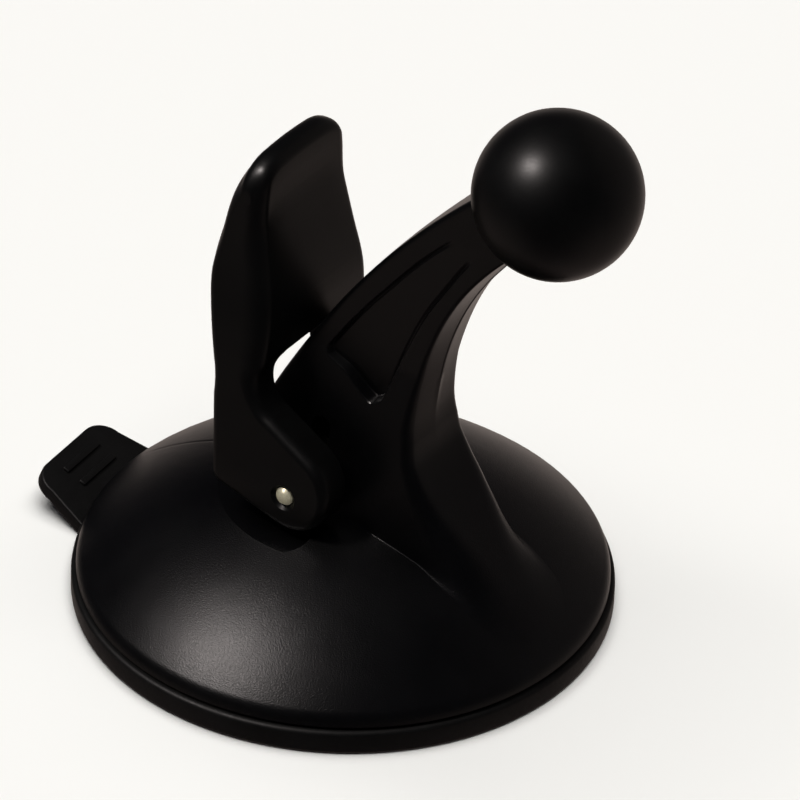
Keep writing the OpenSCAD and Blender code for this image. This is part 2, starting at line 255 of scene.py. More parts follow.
def carved(bm, *cutters):
    """A mesh with the cutters' shapes taken out of it."""
    whole = as_object(bm)
    tools = [as_object(cutter) for cutter in cutters]
    for tool in tools:
        cut = whole.modifiers.new("cut", "BOOLEAN")
        cut.object, cut.operation, cut.solver = tool, "DIFFERENCE", "EXACT"
    mesh = bpy.data.meshes.new_from_object(whole.evaluated_get(bpy.context.evaluated_depsgraph_get()))
    for used in [whole, *tools]:
        bpy.data.meshes.remove(used.data)
    bm = bmesh.new()
    bm.from_mesh(mesh)
    bpy.data.meshes.remove(mesh)
    return bm


def joined(first, *others):
    """Several meshes as one."""
    for other in others:
        mesh = bpy.data.meshes.new("joining")
        other.to_mesh(mesh)
        other.free()
        first.from_mesh(mesh)
        bpy.data.meshes.remove(mesh)
    return first


def placed(bm, name, finish, slot, *nodes, sharp=32, flats=False):
    """Brings a mesh to metres and puts it in the scene with its finish, in the place of its nodes. A piece
    with flats keeps them plain up to their rounded edges."""
    bmesh.ops.scale(bm, vec=(MM, MM, MM), verts=bm.verts)
    piece = as_object(bm, name)
    piece.data.shade_smooth()
    piece.data.set_sharp_from_angle(angle=math.radians(sharp))
    piece.data.materials.append(finish)
    if flats:
        even = piece.modifiers.new("even_shading", "WEIGHTED_NORMAL")
        even.keep_sharp, even.weight = True, 80
    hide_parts(*nodes)
    return piece


# Finishes

def linear(code):
    """An sRGB hex colour as linear light."""
    parts = [int(code[i:i + 2], 16) / 255 for i in (1, 3, 5)]
    return (*[c / 12.92 if c <= 0.04045 else ((c + 0.055) / 1.055) ** 2.4 for c in parts], 1)


def add(tree, kind, settings=None, inputs=None, stops=None):
    """Adds a node with its settings and a ramp's stops of place and colour, and sets or links its inputs."""
    node = tree.nodes.new(kind)
    for name, value in (settings or {}).items():
        setattr(node, name, value)
    for name, value in (inputs or {}).items():
        sockets = [s for s in node.inputs if s.enabled and s.name == name] if isinstance(name, str) else []
        socket = sockets[0] if sockets else node.inputs[name]
        if isinstance(value, bpy.types.NodeSocket):
            tree.links.new(value, socket)
        else:
            socket.default_value = value
    for k, (place, colour) in enumerate(stops or []):
        point = node.color_ramp.elements[k] if k < 2 else node.color_ramp.elements.new(place)
        point.position, point.color = place, colour
    return node


def per_mm(size):
    """The scale of a pattern whose features are this many millimetres wide, on coordinates in metres."""
    return 1 / (size * MM)


def started(name):
    """A new finish with its node tree, its shader and the place on the piece that its patterns read."""
    finish = bpy.data.materials.new(name)
    finish.use_nodes = True
    tree = finish.node_tree
    return finish, tree, tree.nodes["Principled BSDF"], add(tree, "ShaderNodeTexCoord").outputs["Object"]


# The share of its depth that a grain keeps on steep walls
WALL_GRAIN = 0.3


def moulded(name, colours, patch, grain, depth, roughness, marks=None, walls=None):
    """A moulded black surface: slow colour changes of patch mm, a grain of so many mm and a depth in microns,
    and a roughness range. Marks is the spacing of fine rub marks in mm, and walls the two heights in mm
    between which the grain grows shallow."""
    finish, tree, shader, where = started(name)
    slow = add(tree, "ShaderNodeTexNoise", inputs={
        "Vector": where, "Scale": per_mm(patch), "Detail": 3.0, "Roughness": 0.6})
    fine = add(tree, "ShaderNodeTexNoise", inputs={
        "Vector": where, "Scale": per_mm(grain), "Detail": 2.0, "Roughness": 0.55})
    colour = add(tree, "ShaderNodeValToRGB", inputs={"Fac": slow.outputs["Fac"]}, stops=[
        (0.32, linear(colours[0])), (0.68, linear(colours[1]))])
    mixed = add(tree, "ShaderNodeMath", {"operation": "ADD"}, {
        0: slow.outputs["Fac"], 1: fine.outputs["Fac"]})
    gloss = add(tree, "ShaderNodeMapRange", inputs={
        "Value": mixed.outputs[0], "From Min": 0.7, "From Max": 1.3,
        "To Min": roughness[0], "To Max": roughness[1]})
    bump = add(tree, "ShaderNodeBump", inputs={
        "Height": fine.outputs["Fac"], "Strength": 1.0, "Distance": depth * MICRON})
    if marks:
        stretch = add(tree, "ShaderNodeMapping", inputs={
            "Vector": where, "Rotation": (0.3, 0.5, 0.2), "Scale": (1.0, 1.0, 0.08)})
        rubs = add(tree, "ShaderNodeTexNoise", inputs={
            "Vector": stretch.outputs["Vector"], "Scale": per_mm(marks), "Detail": 4.0, "Roughness": 0.7})
        bump = add(tree, "ShaderNodeBump", inputs={
            "Height": rubs.outputs["Fac"], "Strength": 1.0, "Distance": depth * MICRON,
            "Normal": bump.outputs["Normal"]})
    if walls:
        height = add(tree, "ShaderNodeSeparateXYZ", inputs={"Vector": where}).outputs["Z"]
        shallow = add(tree, "ShaderNodeMapRange", inputs={
            "Value": height, "From Min": walls[0] * MM, "From Max": walls[1] * MM,
            "To Min": 1.0, "To Max": WALL_GRAIN})
        tree.links.new(shallow.outputs["Result"], bump.inputs["Strength"])
    tree.links.new(colour.outputs["Color"], shader.inputs["Base Color"])
    tree.links.new(gloss.outputs["Result"], shader.inputs["Roughness"])
    tree.links.new(bump.outputs["Normal"], shader.inputs["Normal"])
    shader.inputs["IOR"].default_value = 1.5
    return finish


def metal(name, colours, roughness, lines, depth, mirror=1.0):
    """A drawn or turned metal: fine lines of so many mm across and a depth in microns, a roughness range, and
    how much of it is a mirror."""
    finish, tree, shader, where = started(name)
    fine = add(tree, "ShaderNodeTexNoise", inputs={
        "Vector": where, "Scale": per_mm(lines), "Detail": 3.0, "Roughness": 0.6})
    colour = add(tree, "ShaderNodeValToRGB", inputs={"Fac": fine.outputs["Fac"]}, stops=[
        (0.3, linear(colours[0])), (0.7, linear(colours[1]))])
    gloss = add(tree, "ShaderNodeMapRange", inputs={
        "Value": fine.outputs["Fac"], "From Min": 0.3, "From Max": 0.7,
        "To Min": roughness[0], "To Max": roughness[1]})
    bump = add(tree, "ShaderNodeBump", inputs={
        "Height": fine.outputs["Fac"], "Strength": 1.0, "Distance": depth * MICRON})
    tree.links.new(colour.outputs["Color"], shader.inputs["Base Color"])
    tree.links.new(gloss.outputs["Result"], shader.inputs["Roughness"])
    tree.links.new(bump.outputs["Normal"], shader.inputs["Normal"])
    shader.inputs["Metallic"].default_value = mirror
    return finish


# ABS moulded in a spark-eroded tool: almost black, with a fine even grain that spreads the highlight.
# The real grain is near 0.1 mm, and is drawn at 0.14 mm so that it shows. It is shallower on the arm's walls,
# which slide along the tool.
grained_abs = moulded("grained_abs", ("#030304", "#060607"), 9, 0.14, 29, (0.29, 0.35), walls=(14.5, 19))
# The ball is the same plastic from a smoother tool, rubbed by its holder: a soft satin shine.
satin_abs = moulded("satin_abs", ("#040404", "#070707"), 6, 0.3, 3, (0.355, 0.405), marks=0.5)
# The lever is handled, so its fine texture is worn to a low shine.
lever_abs = moulded("handled_abs", ("#040404", "#070707"), 8, 0.3, 4, (0.32, 0.38), marks=0.8)
# Soft vinyl rubber: dull, a little dusty, and slightly uneven.
cup_rubber = moulded("soft_rubber", ("#050505", "#080808"), 4, 0.4, 10, (0.46, 0.58))
# Black nylon of the stem: waxy, with faint flow marks.
stem_nylon = moulded("black_nylon", ("#1a1a1a", "#232322"), 5, 0.5, 6, (0.35, 0.5), marks=1.0)
# Drawn spring wire and a stamped washer: grey steel with fine lines.
spring_steel = metal("spring_steel", ("#9a9892", "#b9b6ae"), (0.22, 0.4), 0.2, 3)
# Plated pin, turned across its ends and dulled by wear: pale all over, with a warm cast and a bright spot.
pin_nickel = metal("plated_steel", ("#e3d9b4", "#f6efd6"), (0.36, 0.44), 0.15, 3, mirror=0.5)


# Camera, floor and light

def aimed(thing, place, target, roll=0.0):
    """Puts a lamp or the camera at a place in millimetres, looking at a target."""
    thing.location = Vector(place) * MM
    way = (Vector(target) - Vector(place)).to_track_quat("-Z", "Y")
    thing.rotation_mode = "QUATERNION"
    thing.rotation_quaternion = way @ Quaternion((0, 0, 1), math.radians(roll))
    bpy.context.scene.collection.objects.link(thing)
    return thing


# Place, target, roll and lens were fitted to the photo
camera = aimed(bpy.data.objects.new("camera", bpy.data.cameras.new("camera")),
               (353.3, -518.63, 468.31), (-2.095, 12.44, 15.79), roll=2.14)
camera.data.lens, camera.data.sensor_width = 341.89, 36
camera.data.clip_start, camera.data.clip_end = 0.01, 20
bpy.context.scene.camera = camera


def lamp(name, place, target, size, power, colour, shows_in):
    """A soft square lamp, seen either by gloss or by dull surfaces: the first gives the highlights, the
    second the even light on the floor."""
    light = bpy.data.lights.new(name, "AREA")
    light.size, light.energy, light.color = size * MM, power, colour
    thing = aimed(bpy.data.objects.new(name, light), place, target)
    thing.visible_glossy, thing.visible_diffuse = shows_in == "gloss", shows_in == "dull"


lamp("soft_overhead", (0, 0, 1500), (0, 0, 0), 1600, 33, (1.0, 0.995, 0.985), "dull")
lamp("ceiling_lamp", (-625, -763, 1376), (10, 0, 30), 160, 12.6, (1.0, 0.92, 0.89), "gloss")
bpy.context.scene.view_settings.view_transform = "Standard"

# A dim room: a warm brown below, brighter straight behind and to the right, dark above and under the camera
world = bpy.data.worlds.new("room")
bpy.context.scene.world = world
world.use_nodes = True
sky = world.node_tree
way = add(sky, "ShaderNodeTexCoord").outputs["Generated"]
upward = add(sky, "ShaderNodeSeparateXYZ", inputs={"Vector": way}).outputs["Z"]
height = add(sky, "ShaderNodeMapRange", inputs={"Value": upward, "From Min": -1.0, "From Max": 1.0})
room = add(sky, "ShaderNodeValToRGB", inputs={"Fac": height.outputs["Result"]}, stops=[
    (0.0, (0.16, 0.125, 0.115, 1)), (0.22, (0.135, 0.11, 0.10, 1)), (0.30, (0.085, 0.07, 0.066, 1)),
    (0.42, (0.03, 0.028, 0.03, 1)), (0.55, (0.012, 0.012, 0.016, 1)), (1.0, (0.004, 0.004, 0.007, 1))])
shade = room.outputs["Color"]
for toward, reach, blend, colour in (((-0.446, 0.70, -0.555), 0.72, "ADD", (0.46, 0.39, 0.35, 1)),
                                     ((0.43, 0.90, 0.10), 0.42, "ADD", (0.075, 0.063, 0.055, 1)),
                                     ((0.36, -0.76, -0.54), 0.62, "MULTIPLY", (0.2, 0.2, 0.25, 1))):
    near = add(sky, "ShaderNodeVectorMath", {"operation": "DOT_PRODUCT"}, {0: way, 1: toward})
    share = add(sky, "ShaderNodeMapRange", {"interpolation_type": "SMOOTHSTEP"}, {
        "Value": near.outputs["Value"], "From Min": reach, "From Max": 1.0, "To Max": 1.0})
    mix = add(sky, "ShaderNodeMix", {"data_type": "RGBA", "blend_type": blend}, {
        "Factor": share.outputs["Result"], "A": shade, "B": colour})
    shade = next(s for s in mix.outputs if s.enabled)
sky.links.new(shade, sky.nodes["Background"].inputs["Color"])

floor_mesh = bmesh.new()
bmesh.ops.create_grid(floor_mesh, x_segments=4, y_segments=4, size=3.0)
floor = as_object(floor_mesh, "floor")
floor_paint = bpy.data.materials.new("pale_floor")
floor_paint.use_nodes = True
floor_shader = floor_paint.node_tree.nodes["Principled BSDF"]
floor_shader.inputs["Base Color"].default_value = linear("#f2f1ee")
floor_shader.inputs["Roughness"].default_value = 0.9
floor_shader.inputs["Specular IOR Level"].default_value = 0.1
floor.data.materials.append(floor_paint)
floor.visible_glossy = False


# Housing: one skin that runs from the ball down the arm, over the dome, round the rim and up into the cavity

def dome_z(x, y):
    """Height of the dome's crown."""
    return CROWN_Z + math.sqrt(CROWN_R ** 2 - x * x - y * y)


SLOPE = math.radians(NECK_SLOPE)
NECK_ALONG = Vector((math.cos(SLOPE), math.sin(SLOPE)))
NECK_UP = Vector((-math.sin(SLOPE), math.cos(SLOPE)))
# The arm's lines end inside the ball, at this share of its radius from its centre
NECK_IN = 0.7
NECK_END = BALL - NECK_ALONG * BALL_R * NECK_IN
BACK_LOW, BACK_HIGH, BACK_BOW = Vector((-FOOT_BACK, 22)), NECK_END + NECK_UP * NECK_H / 2, 2.2
FRONT_LOW, FRONT_HIGH, FRONT_BOW = Vector((FOOT_FRONT, 24)), NECK_END - NECK_UP * NECK_H / 2, 3.2
# The flare ends a little under the dome's skin
FLARE_X, FLARE_SINK, FLARE_BOW = FOOT_FRONT + FLARE_REACH, 0.4, 1.2
FLARE_LOW = Vector((FLARE_X, dome_z(FLARE_X, 0) - FLARE_SINK))
# How far the foot's back runs down, and the share of the way over which the bend above the flare is averaged
FOOT_RUN, BEND, BEND_SPAN, BEND_STEPS = 13, 0.16, 0.32, 4


def arm_edges(s):
    """The arm's back and front edge at a share of the way up, and the foot's where the share is negative."""
    def front(at):
        if at >= 0:
            return bow_at(FRONT_LOW, FRONT_HIGH, FRONT_BOW, at)
        return bow_at(FRONT_LOW, FLARE_LOW, -FLARE_BOW, -at)

    back = bow_at(BACK_LOW, BACK_HIGH, BACK_BOW, s) if s >= 0 else BACK_LOW + Vector((0, FOOT_RUN * s))
    bend = BEND * max(0, 1 - abs(s) / BEND_SPAN)
    fronts = [front(s + bend * k / BEND_STEPS) for k in range(-BEND_STEPS, BEND_STEPS + 1)]
    return back, sum(fronts, Vector((0, 0))) / len(fronts)


def arm_half(z):
    """Half the arm's thickness at a height."""
    return ARM_HALF + (FOOT_HALF - ARM_HALF) * min(1, max(0, (TAPER_Z - z) / (TAPER_Z - PAD_Z)))


# Rounding of the front corners at the arm's top, and what its low end, its foot and its flare add, each with
# the shares of the way between which it comes in
CORNER = 0.35
CORNER_LOW, CORNER_LOW_AT = 0.75, (0.45, 0.0)
CORNER_FOOT, CORNER_FOOT_AT = 1.2, (0.0, 0.55)
CORNER_ALONG, CORNER_ACROSS, CORNER_FLARE_AT = 3.4, 2.6, (0.3, 1.0)


def front_easing(s):
    """Rounding of the arm's front corners along and across it: tight above, wide where the foot flares."""
    tight = CORNER + CORNER_LOW * smooth(*CORNER_LOW_AT, s) + CORNER_FOOT * smooth(*CORNER_FOOT_AT, -s)
    wide = smooth(*CORNER_FLARE_AT, -s)
    return tight + CORNER_ALONG * wide, tight + CORNER_ACROSS * wide


# The panel's lines: share of the way up the arm against share of the way from its back to its front
PANEL_BACK = [(0.255, 0.19), (0.44, 0.245), (0.565, 0.29), (0.715, 0.32), (0.831, 0.354)]
PANEL_FRONT = [(0.155, 0.765), (0.262, 0.785), (0.393, 0.793), (0.55, 0.785), (0.683, 0.775), (0.815, 0.725)]
PANEL_STEP = [(0.19, 0.258), (0.219, 0.246), (0.309, 0.231), (0.44, 0.211), (0.556, 0.178), (0.646, 0.151),
              (0.707, 0.141), (0.765, 0.152)]
# Columns lie close together beside the panel's long lines, outside and inside them
LINE_OUT, LINE_IN, LINE_ROOM = 0.45, 0.55, 0.6
LINE_OFFS = (LINE_OUT, 0.25, 0.12, 0.04, -0.04, -0.12, -0.3, -LINE_IN)
BACK_EASING = 0.6
# Columns of the skin on one side, from the middle of the arm's front to the middle of its back
RING = ([("front", share) for share in (0, 0.045, 0.1, 0.25, 0.45, 0.65, 0.85, 1)]
        + [("front_corner", k / 10) for k in range(1, 11)]
        + [("front_margin", k / 6) for k in range(1, 6)]
        + [("front_line", off) for off in LINE_OFFS]
        + [("panel", k / 30) for k in range(1, 30)]
        + [("back_line", -off) for off in reversed(LINE_OFFS)]
        + [("back_margin", k / 5) for k in range(1, 5)]
        + [("back_corner", k / 8) for k in range(9)]
        + [("back", share) for share in (0.9, 0.75, 0.6, 0.45, 0.3, 0.15, 0.04, 0.012, 0)])


def across(column, s):
    """Place of a column in the arm's section: its distance from the back edge, and its half width as a pair
    of a share of the full half width and a part taken off it. Both lengths are in millimetres."""
    kind, at = column
    back, front = arm_edges(s)
    length = (front - back).length
    easing, easing_y = front_easing(s)
    corner = length - easing
    line_front = min(through(PANEL_FRONT, s) * length, corner - LINE_ROOM)
    line_back = through(PANEL_BACK, s) * length
    angle = at * math.pi / 2
    if kind == "front":
        return length, (at, easing_y * at)
    if kind == "front_corner":
        return length - easing * (1 - math.cos(angle)), (1, easing_y * (1 - math.sin(angle)))
    if kind == "back_corner":
        return BACK_EASING * (1 - math.sin(angle)), (1, BACK_EASING * (1 - math.cos(angle)))
    if kind == "back":
        return 0.0, (at, BACK_EASING * at)
    if kind == "front_margin":
        return between(corner, line_front + LINE_OUT, at), (1, 0)
    if kind == "front_line":
        return line_front + at, (1, 0)
    if kind == "panel":
        return between(line_front - LINE_IN, line_back + LINE_IN, at), (1, 0)
    if kind == "back_line":
        return line_back + at, (1, 0)
    return between(line_back - LINE_OUT, BACK_EASING, at), (1, 0)


PANEL_LOW_Z, PANEL_TOP_Z, PANEL_DEPTH, ARM_RUN = 28.7, 50.7, 0.7, 38.0
# How softly the panel's lines meet and its wall turns, and the distance past which a line no longer counts
PANEL_SOFT, WALL_SOFT, FAR_OFF = 0.2, 0.09, 40
# Depth of the fine groove along the panel's long lines, its width at the back and at the front, and where it
# starts above the step and ends up the arm
GROOVE, GROOVE_BACK, GROOVE_FRONT, GROOVE_START, GROOVE_END = 0.22, 0.17, 0.15, (-0.1, 0.7), (0.85, 0.79)


def panelled(y, s, t, length, z):
    """The half width y of the arm's side with the panel sunk into it, at shares of the way up and across."""
    off_back = (t - through(PANEL_BACK, s)) * length
    off_front = (through(PANEL_FRONT, s) - t) * length
    off_step = (s - through(PANEL_STEP, t)) * ARM_RUN
    nearness = sum(math.exp(-min(off, FAR_OFF) / PANEL_SOFT) for off in (off_back, off_front, off_step))
    inside = -PANEL_SOFT * math.log(nearness)
    bed = ARM_HALF - PANEL_DEPTH * min(1, max(0, (PANEL_TOP_Z - z) / (PANEL_TOP_Z - PANEL_LOW_Z)))
    if bed < y:
        y += (bed - y) * (0.5 + 0.5 * math.tanh(inside / WALL_SOFT))
    groove = max(math.exp(-(off_back / GROOVE_BACK) ** 2), math.exp(-(off_front / GROOVE_FRONT) ** 2))
    return y - GROOVE * groove * smooth(*GROOVE_START, off_step) * smooth(*GROOVE_END, s)


# How far the flare's sides draw in, down the flare and towards its front
FLARE_DRAW, DRAW_DOWN, DRAW_FRONT = 0.7, (0.1, 0.7), (14, 24)
# How far the rounded foot stands before its corners' line, by the share of the way down, and where that fades
FOOT_SWELL = [(0, 0.42), (0.22, 0.65), (0.4, 1.1), (0.55, 1.5), (0.7, 1.5), (0.87, 0.8), (1.0, 0.0)]
SWELL_UP, SWELL_SIDE, SWELL_TOP = (0.75, 0.0), (0.45, 1.0), 0.2
# The low ridge up the arm's front, the mould's seam along it, and the crown of the arm's back
RIDGE, RIDGE_SOFT, RIDGE_START, RIDGE_END = 0.42, 0.06, (-0.2, 0.3), (1.0, 0.8)
SEAM, SEAM_EDGE, SEAM_START = 0.08, (0.32, 0.08), (0.0, 0.3)
BACK_CROWN = 0.12
SIDE_KINDS, SIDE_START = ("front_margin", "front_line", "panel", "back_line", "back_margin"), 0.05


def arm_point(column, s):
    """A place on the near side of the arm's skin."""
    kind = column[0]
    back, front = arm_edges(s)
    length = (front - back).length
    p, (share, less) = across(column, s)
    way = (front - back) / length
    half = arm_half((back + way * p).y) - FLARE_DRAW * smooth(*DRAW_DOWN, -s) * smooth(*DRAW_FRONT, p)
    y = half * share - less
    forward = through(FOOT_SWELL, -s) * smooth(*SWELL_UP, s)
    if kind in ("front", "front_corner"):
        rise = smooth(*RIDGE_START, s) * smooth(*RIDGE_END, s)
        ridge = RIDGE * rise * (1 - math.sqrt(y * y + RIDGE_SOFT) / half)
        seam = SEAM * smooth(*SEAM_EDGE, y) * smooth(*SEAM_START, s)
        p += ridge + seam + forward
    elif s < SWELL_TOP:
        p += forward * smooth(*SWELL_SIDE, p / length)
    if kind in ("back", "back_corner"):
        p -= BACK_CROWN * (1 - (y / half) ** 2)
    spot = back + way * p
    if kind in SIDE_KINDS and s > SIDE_START:
        y = panelled(y, s, p / length, length, spot.y)
    return Vector((spot.x, -y, spot.y))


# The rim's edge is an arc that ends with a little draft, and the pads have a wall under them
RIM_TURN_R = RIM_R - RIM_ROUND
RIM_TURN_Z = CROWN_Z + math.sqrt((CROWN_R - RIM_ROUND) ** 2 - RIM_TURN_R ** 2)
RIM_DRAFT, RIM_EDGE, PAD_WALL = -4, 0.25, 1.2


def rim_and_cavity():
    """Radius and height of the skin from the dome's edge, round the rim and up to the cavity's roof."""
    lean = math.degrees(math.atan2(RIM_TURN_Z - CROWN_Z, RIM_TURN_R))
    rim = arc((RIM_TURN_R, RIM_TURN_Z), RIM_ROUND, lean, RIM_DRAFT, 9)
    under = [(r, SEAT_Z) for r in (RIM_R - RIM_EDGE, 26.0, CAVITY_R)]
    roof_z, inner = PAD_Z - PAD_WALL, CROWN_R - DOME_WALL
    roof_r = math.sqrt(inner ** 2 - (roof_z - CROWN_Z) ** 2)
    cavity = [(r, CROWN_Z + math.sqrt(inner ** 2 - r * r)) for r in spread(CAVITY_R, roof_r, 14)]
    roof = [(r, roof_z) for r in (roof_r, 7.0, 5.5, 3.0, 0.0)]
    return [*rim, *under, *cavity, *roof]


# Rows lie close together above and below the panel's step
STEP_OFFS = (0.65, 0.42, 0.26, 0.15, 0.05, -0.05, -0.15, -0.26, -0.45)
BALL_GAP = 0.04
# The mould's seam down the back of the dome is a hair deep
DOME_SEAM, DOME_SEAM_R = 0.04, 10
# The crease at the dome is tight along the foot's sides, and runs out into a wide blend in front
CREASE, BLEND, BLEND_X = 0.3, 5.0, (12.5, 18.5)


def arm_column(column):
    """The points of one column of the skin, from the neck's end to the middle of the cavity's roof."""
    socket = Vector((BALL.x, 0, BALL.y))
    seat = BALL_R + BALL_GAP
    pole = Vector((-NECK_ALONG.x, 0, -NECK_ALONG.y))
    top = halved(lambda s: (arm_point(column, s) - socket).length > seat, 0.6, 1.0)
    first = (arm_point(column, top) - socket).normalized()
    points = [socket + seat * (pole * (1 - k / 5) + first * (k / 5)).normalized() for k in range(5)]

    def below_step(s):
        back, front = arm_edges(s)
        return s < through(PANEL_STEP, across(column, s)[0] / (front - back).length)

    step = halved(below_step, 0.05, 0.45)
    step_rows = [step + off / ARM_RUN for off in STEP_OFFS]
    rows = spread(top, step_rows[0], 60) + step_rows + spread(step_rows[-1], 0, 15)[1:]
    points += [arm_point(column, s) for s in rows]

    def above(s):
        spot = arm_point(column, s)
        return spot.z > dome_z(spot.x, spot.y)

    foot = halved(lambda f: above(-f), 0.05, 1.0)
    meet = arm_point(column, -foot)
    bearing = math.atan2(meet.y, meet.x)
    out = Vector((math.cos(bearing), math.sin(bearing)))
    reach = math.hypot(meet.x, meet.y)

    def on_dome(radius):
        x, y = out * radius
        seam = DOME_SEAM if column == ("back", 0) and DOME_SEAM_R < radius < RIM_TURN_R else 0
        return Vector((x, y, dome_z(x, y) - seam))

    easing = between(CREASE, BLEND, smooth(*BLEND_X, meet.x))
    share = halved(lambda f: (arm_point(column, -f) - meet).length > easing, 0.0, foot)
    start, end = arm_point(column, -share), on_dome(reach + easing)
    down, away = arm_point(column, -share - 0.01) - start, on_dome(reach + easing + 0.05) - end
    points += [arm_point(column, -f) for f in spread(0, share, 26)]
    points += eased_between(start, down.normalized(), end, away.normalized(), 8)
    rim_start = RIM_TURN_R * CROWN_R / (CROWN_R - RIM_ROUND)
    points += [on_dome(r) for r in spread(reach + easing, rim_start, 36)]
    points += [Vector((*(out * r), z)) for r, z in rim_and_cavity()]
    return points


def housing_skin():
    """The housing's closed skin, without its cuts."""
    near = [arm_column(column) for column in RING]
    far = [[Vector((p.x, -p.y, p.z)) for p in points] for points in reversed(near[1:-1])]
    ring = near + far + [near[0]]
    return wrapped(len(near[0]) - 1, len(ring) - 1, lambda row, column: ring[column][row])


def pin_slot():
    """A round-ended slot through the foot, for the pin."""
    gap, reach, middle = 0.15, 20, PIN_Z + STEM_LIFT / 2
    bm = bmesh.new()
    bmesh.ops.create_circle(bm, cap_ends=True, segments=32, radius=PIN_R + gap,
                            matrix=Matrix.Translation((0, reach, middle))
                            @ Matrix.Rotation(math.pi / 2, 4, "X"))
    for corner in bm.verts:
        corner.co.z += STEM_LIFT / 2 if corner.co.z > middle else -STEM_LIFT / 2
    return drawn_out(bm, (0, -2 * reach, 0))


def cam_pad(side):
    """The flat that a cheek's cam bears on, open to the side, with its front wall rounded off."""
    behind, before, corner, corner_y, rise = 2.6, 2.5, 3.2, 10.4, 4
    back, front = -CHEEK_BACK - behind, TOE.x + before
    outline = [(back, FOOT_HALF), (front, FOOT_HALF), (front, corner_y),
               *arc((front - corner, corner_y), corner, 8, 90, 12), (front - corner, RIM_R), (back, RIM_R)]
    return drawn_out(sheet([(x, side * y, PAD_Z) for x, y in outline]), (0, 0, rise))


BORE_LOW, BORE_TOP = 1, 26
housing = placed(carved(housing_skin(), cam_pad(-1), cam_pad(1), rod(STEM_R + RUN_GAP, BORE_LOW, BORE_TOP),
                        rod(SPRING_R + FREE_GAP, BORE_LOW, SPRING_HIGH), pin_slot()),
                 "dome_and_arm", grained_abs, "moulded_plastic", "housing", sharp=17, flats=True)
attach(housing, "housing")


# Ball with its spigot

SPIGOT_TOP, SPIGOT_EASING = -math.sqrt(BALL_R ** 2 - SPIGOT_R ** 2), 0.3
ball_line = arc((0, 0), BALL_R, 90, math.degrees(math.atan2(SPIGOT_TOP, SPIGOT_R)), 72)
spigot = [(SPIGOT_R, SPIGOT_TOP, 0), (SPIGOT_R, -SPIGOT_L, SPIGOT_EASING), (0, -SPIGOT_L, 0)]
ball_line += eased(spigot, 3)[1:]
ball_mesh = turned(ball_line, 96)
bmesh.ops.transform(ball_mesh, matrix=Matrix.Translation((BALL.x, 0, BALL.y))
                    @ Matrix.Rotation(math.pi / 2 - SLOPE, 4, "Y"), verts=ball_mesh.verts)
ball = placed(ball_mesh, "ball_head", satin_abs, "ball_plastic", "ball")
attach(ball, "housing")


# Lever

# Half the lever's width, up its height
LEVER_HALVES = [(PIN_Z, LEVER_HALF), (26, 10.25), (33, 9.4), (39, 8.45), (44, 7.85), (48, 7.55),
                (TIP_Z, TIP_HALF + 0.5)]


def lever_half(z):
    """Half the lever's width at a height."""
    return through(LEVER_HALVES, z)


# How far the front stands before the straight line from tip to crotch, by the share of the way down
LEVER_FRONT = [(0, 0), (0.17, -0.05), (0.34, 0.12), (0.6, 0.5), (0.8, 0.55), (1, 0)]


def lever_outline():
    """The lever seen from the side, round its toe, heel, back, tip, front and crotch."""
    heel, heel_r = Vector((-CHEEK_BACK, PIN_Z - 1.9)), 1.4
    shoulder, waist = Vector((-CHEEK_BACK, PIN_Z + 8)), Vector((-CHEEK_BACK - 0.5, PIN_Z + 11.5))
    crotch = Vector((waist.x + PADDLE_T, CROTCH_Z))
    notch = Vector((crotch.x - 0.8, CROTCH_Z - 4))
    tip, tip_r = Vector((-8.7, TIP_Z - TIP_T / 2)), TIP_T / 2
    shoulder_bow, back_bow, crotch_bow, crotch_share = -0.12, 1.9, -1.4, 0.35
    low, high = touch(TOE, TOE_R, heel, 1), touch(TOE, TOE_R, notch, -1)
    low_turn, high_turn = [math.degrees(math.atan2(p.y - TOE.y, p.x - TOE.x)) for p in (low, high)]
    line = arc(TOE, TOE_R, high_turn, low_turn, 32)
    line += arc(heel + Vector((heel_r, heel_r)), heel_r, 360 + low_turn, 180, 8)
    line += [bow_at(shoulder, waist, shoulder_bow, k / 5) for k in range(5)]
    line += [bow_at(waist, tip, back_bow, k / 36) for k in range(36)]
    line += arc(tip + Vector((tip_r, 0)), tip_r, 180, 0, 12)
    front = tip + Vector((TIP_T, 0))
    line += [between(front, crotch, k / 28) + Vector((through(LEVER_FRONT, k / 28), 0)) for k in range(1, 28)]
    end = between(notch, high, crotch_share)
    line += [bow_at(crotch, end, crotch_bow, k / 16) for k in range(17)]
    line += [between(end, line[0], k / 6) for k in range(1, 6)]
    return line


# The tip's low crown and round corners, and the height at which its half width is taken
TIP_CROWN, TIP_ROUND, TIP_ROOM, CORNER_Z = 0.15, 4.4, 0.1, TIP_Z - 3.4


def tip_drop(y):
    """How far the lever's tip lies below its middle, at a distance from the middle."""
    corner = lever_half(CORNER_Z) + TIP_ROOM - TIP_ROUND
    if y <= corner:
        return TIP_CROWN * (y / corner) ** 2
    return TIP_CROWN + TIP_ROUND - math.sqrt(max(0, TIP_ROUND ** 2 - (y - corner) ** 2))


# Heights between which the paddle gets thin, gets round at its tip, and gets thick on the way down
THIN_Z, ROUND_Z, THICK_Z = (42, 49), (43, 50), (TIP_Z - 3, TIP_Z - 14)
# What the thick front and the tip add to the rounding down the flanks
FLANK_THICK, FLANK_TIP = 0.25, 0.4
# What the front adds to the rounding across the section, also where it is thick or thin, and what the thin
# back takes off it
ACROSS_FRONT, ACROSS_THICK, ACROSS_THIN, ACROSS_BACK = 0.4, 1.4, 0.45, 0.5


